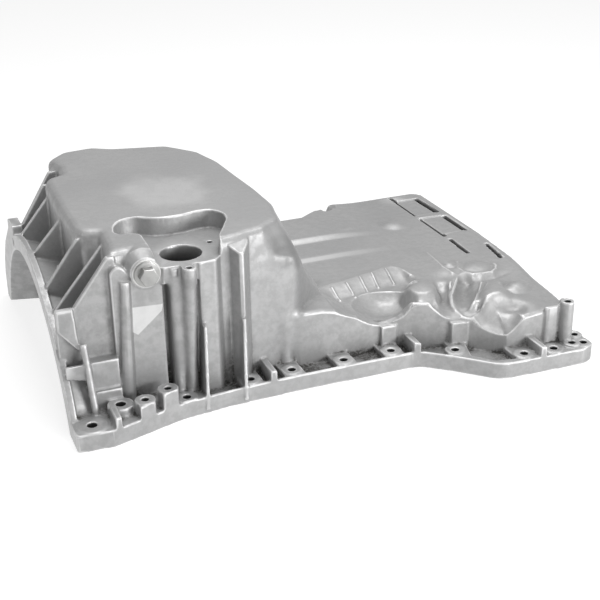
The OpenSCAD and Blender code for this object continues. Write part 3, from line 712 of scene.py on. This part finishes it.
def grime_and_shade_group():
    """Dark staining, with painted shade, that gathers in the hollows and low down on the flange."""
    group, start, end = new_group(
        "grime_and_shade",
        [
            ("NodeSocketVector", "Vector", None),
            ("NodeSocketFloat", "Bend", 0.0),
            ("NodeSocketFloat", "Foot", 0.0),
            ("NodeSocketFloat", "Amount", 1.0),
        ],
        [("NodeSocketFloat", "Mask")],
    )
    vector = start.outputs["Vector"]
    patchy = spread(group, noise(group, vector, 45.0, 4, 0.6), 0.3, 0.62, 0.25, 1.0)
    speckled = spread(group, noise(group, vector, 420.0, 2, 0.6), 0.35, 0.6, 0.5, 1.0)
    hollow = spread(group, start.outputs["Bend"], 0.35, 2.6)
    low = maths(group, "MULTIPLY", hollow, maths(group, "ADD", start.outputs["Foot"], 0.35))
    mask = maths(group, "MULTIPLY", maths(group, "MULTIPLY", low, patchy), speckled)
    mask = maths(group, "MULTIPLY", mask, start.outputs["Amount"])
    made = add(group.nodes, "ShaderNodeClamp")
    group.links.new(mask, made.inputs["Value"])
    group.links.new(made.outputs[0], end.inputs["Mask"])
    return group


def placed_group(tree, group, **values):
    """A shared group in a material, with its own values or linked sockets."""
    made = add(tree.nodes, "ShaderNodeGroup", node_tree=group)
    for name, value in values.items():
        socket = made.inputs[name.replace("_", " ")]
        if isinstance(value, (int, float)):
            socket.default_value = value
        else:
            tree.links.new(value, socket)
    return made


def attribute(tree, name):
    """Value of one of the mesh's attributes."""
    return add(tree.nodes, "ShaderNodeAttribute", attribute_name=name).outputs["Fac"]


def tinted(tree, factor, first, second):
    """First colour turning to the second with the factor."""
    made = add(tree.nodes, "ShaderNodeMix", data_type="RGBA")
    for socket, value in ((made.inputs[6], first), (made.inputs[7], second)):
        if isinstance(value, tuple):
            socket.default_value = (*value, 1)
        else:
            tree.links.new(value, socket)
    tree.links.new(factor, made.inputs["Factor"])
    return made.outputs[2]


def bumped(tree, shader, height, strength, distance):
    """Gives a shader the fine relief of a height."""
    bump = add(tree.nodes, "ShaderNodeBump")
    bump.inputs["Strength"].default_value = strength
    bump.inputs["Distance"].default_value = distance
    tree.links.new(height, bump.inputs["Height"])
    tree.links.new(bump.outputs["Normal"], shader.inputs["Normal"])


def inside_edges(tree, split, outline):
    """One inside an outline given as (x, z) in layout millimetres, turning left all the way."""
    mask = None
    for (ax, az), (bx, bz) in zip(outline, outline[1:] + outline[:1]):
        length = math.hypot(bx - ax, bz - az)
        across, along = (bx - ax) / length, (bz - az) / length
        shift = across * az - along * (ax - LAYOUT[0])
        side = maths(
            tree, "SUBTRACT",
            maths(tree, "MULTIPLY", split.outputs["Z"], across),
            maths(tree, "MULTIPLY", split.outputs["X"], along),
        )
        side = spread(tree, side, (shift - 0.4) * MM, (shift + 0.6) * MM)
        mask = side if mask is None else maths(tree, "MULTIPLY", mask, side)
    return mask


def soft_spot(tree, places, middle, reach):
    """One at a place, falling to nothing at its reach, with an uneven rim."""
    away = add(tree.nodes, "ShaderNodeVectorMath", operation="DISTANCE")
    away.inputs[1].default_value = middle
    tree.links.new(places, away.inputs[0])
    ragged = noise(tree, places, 26.0, 3)
    ragged = maths(tree, "MULTIPLY", maths(tree, "SUBTRACT", ragged, 0.5), reach)
    return spread(tree, maths(tree, "ADD", away.outputs["Value"], ragged), reach, reach * 0.45)


def low_top(tree, split):
    """One on the two pale strips that run along the steps of the shallow floor."""
    flat = spread(tree, split.outputs["Z"], 0.066, 0.0645)
    strips = None
    for y, half in ((8.5 * MM, 6 * MM), (55.5 * MM, 7 * MM)):
        away = maths(tree, "ABSOLUTE", maths(tree, "SUBTRACT", split.outputs["Y"], y))
        strip = spread(tree, away, half, half * 0.4)
        strips = strip if strips is None else maths(tree, "MAXIMUM", strips, strip)
    return maths(tree, "MULTIPLY", strips, flat)


def new_material(name):
    """A material with its tree and its shader."""
    material = bpy.data.materials.new(name)
    material.use_nodes = True
    tree = material.node_tree
    return material, tree, tree.nodes["Principled BSDF"]


def cast_material():
    """Bare casting with milled faces, rubbed edges with painted highlights, staining with painted shade in
    the hollows and holes, and a few pale and dark patches: the panel's pale one a painted highlight, the
    dark one painted shade.
    """
    material, tree, shader = new_material("cast_aluminium")
    places = add(tree.nodes, "ShaderNodeTexCoord").outputs["Object"]
    split = add(tree.nodes, "ShaderNodeSeparateXYZ")
    tree.links.new(places, split.inputs[0])
    foot = spread(tree, split.outputs["Z"], 0.06, 0.012)
    skin = placed_group(tree, SKIN, Vector=places, Grain_Scale=620.0, Blotch_Scale=8.0)
    # Edges lighter from wear and from a painted highlight.
    edges = placed_group(tree, EDGES, Vector=places, Bend=attribute(tree, "fine_bend"), Amount=1.0)
    # Dark staining with painted shade in the hollows and low down.
    dirt_and_shade = placed_group(
        tree, GRIME_AND_SHADE, Vector=places, Bend=attribute(tree, "broad_bend"), Foot=foot, Amount=1.0
    )
    milled = attribute(tree, "machined")
    # Painted highlight: a pale reflection on the panel under the plug.
    panel_highlight = inside_edges(tree, split, PAINTED_PANEL_HIGHLIGHT)
    panel_highlight = maths(tree, "MULTIPLY", panel_highlight, spread(tree, split.outputs["Y"], -0.124, -0.128))
    spot = soft_spot(tree, places, (-0.114, -0.001, 0.161), 0.052)
    shade = soft_spot(tree, places, (-0.034, -0.118, 0.126), 0.024)
    band = maths(tree, "MULTIPLY", spread(tree, split.outputs["X"], -0.06, 0.0), low_top(tree, split))
    band = maths(tree, "MULTIPLY", band, spread(tree, split.outputs["X"], 0.15, 0.02))
    bore = attribute(tree, "bore")
    colour = tinted(tree, skin.outputs["Blotch"], (0.43, 0.431, 0.433), (0.48, 0.48, 0.48))
    colour = tinted(tree, spread(tree, skin.outputs["Mottle"], 0, 1, 0, 0.45), colour, (0.36, 0.36, 0.36))
    colour = tinted(tree, maths(tree, "MULTIPLY", spot, 0.6), colour, (0.60, 0.60, 0.60))
    colour = tinted(tree, maths(tree, "MULTIPLY", shade, 0.6), colour, (0.24, 0.24, 0.24))
    colour = tinted(tree, maths(tree, "MULTIPLY", band, 0.75), colour, (0.68, 0.68, 0.68))
    colour = tinted(tree, maths(tree, "MULTIPLY", panel_highlight, 0.75), colour, (0.80, 0.80, 0.80))
    colour = tinted(tree, edges.outputs["Mask"], colour, (0.74, 0.74, 0.74))
    colour = tinted(tree, maths(tree, "MULTIPLY", milled, 0.6), colour, (0.60, 0.60, 0.60))
    colour = tinted(tree, dirt_and_shade.outputs["Mask"], colour, (0.11, 0.107, 0.102))
    # Holes painted nearly black as shade.
    colour = tinted(tree, maths(tree, "MULTIPLY", bore, 0.85), colour, (0.03, 0.03, 0.03))
    tree.links.new(colour, shader.inputs["Base Color"])
    rough = spread(tree, skin.outputs["Mottle"], 0, 1, 0.5, 0.62)
    rough = maths(tree, "SUBTRACT", rough, maths(tree, "MULTIPLY", milled, 0.1))
    rough = maths(tree, "ADD", rough, maths(tree, "MULTIPLY", dirt_and_shade.outputs["Mask"], 0.3))
    tree.links.new(rough, shader.inputs["Roughness"])
    shader.inputs["Metallic"].default_value = 0.75
    bumped(tree, shader, skin.outputs["Height"], 0.35, 0.3 * MM)
    return material


def steel_material():
    """Plated plug, turned and a little stained."""
    material, tree, shader = new_material("plug_steel")
    places = add(tree.nodes, "ShaderNodeTexCoord").outputs["Object"]
    skin = placed_group(tree, SKIN, Vector=places, Grain_Scale=1500.0, Blotch_Scale=60.0)
    colour = tinted(tree, skin.outputs["Blotch"], (0.36, 0.36, 0.355), (0.46, 0.46, 0.45))
    tree.links.new(colour, shader.inputs["Base Color"])
    tree.links.new(spread(tree, skin.outputs["Mottle"], 0, 1, 0.34, 0.5), shader.inputs["Roughness"])
    shader.inputs["Metallic"].default_value = 0.9
    bumped(tree, shader, skin.outputs["Height"], 0.2, 0.15 * MM)
    return material


def washer_material():
    """Soft aluminium washer, nearly as pale as the boss it seals."""
    material, tree, shader = new_material("washer_metal")
    places = add(tree.nodes, "ShaderNodeTexCoord").outputs["Object"]
    skin = placed_group(tree, SKIN, Vector=places, Grain_Scale=1200.0, Blotch_Scale=80.0)
    colour = tinted(tree, skin.outputs["Blotch"], (0.66, 0.66, 0.65), (0.78, 0.78, 0.77))
    tree.links.new(colour, shader.inputs["Base Color"])
    tree.links.new(spread(tree, skin.outputs["Mottle"], 0, 1, 0.32, 0.45), shader.inputs["Roughness"])
    shader.inputs["Metallic"].default_value = 0.9
    return material


SKIN = skin_group()
EDGES = rubbed_highlit_edge_group()
GRIME_AND_SHADE = grime_and_shade_group()

studio_camera()
studio()
casting()
drain_plug()
drain_plug_washer()
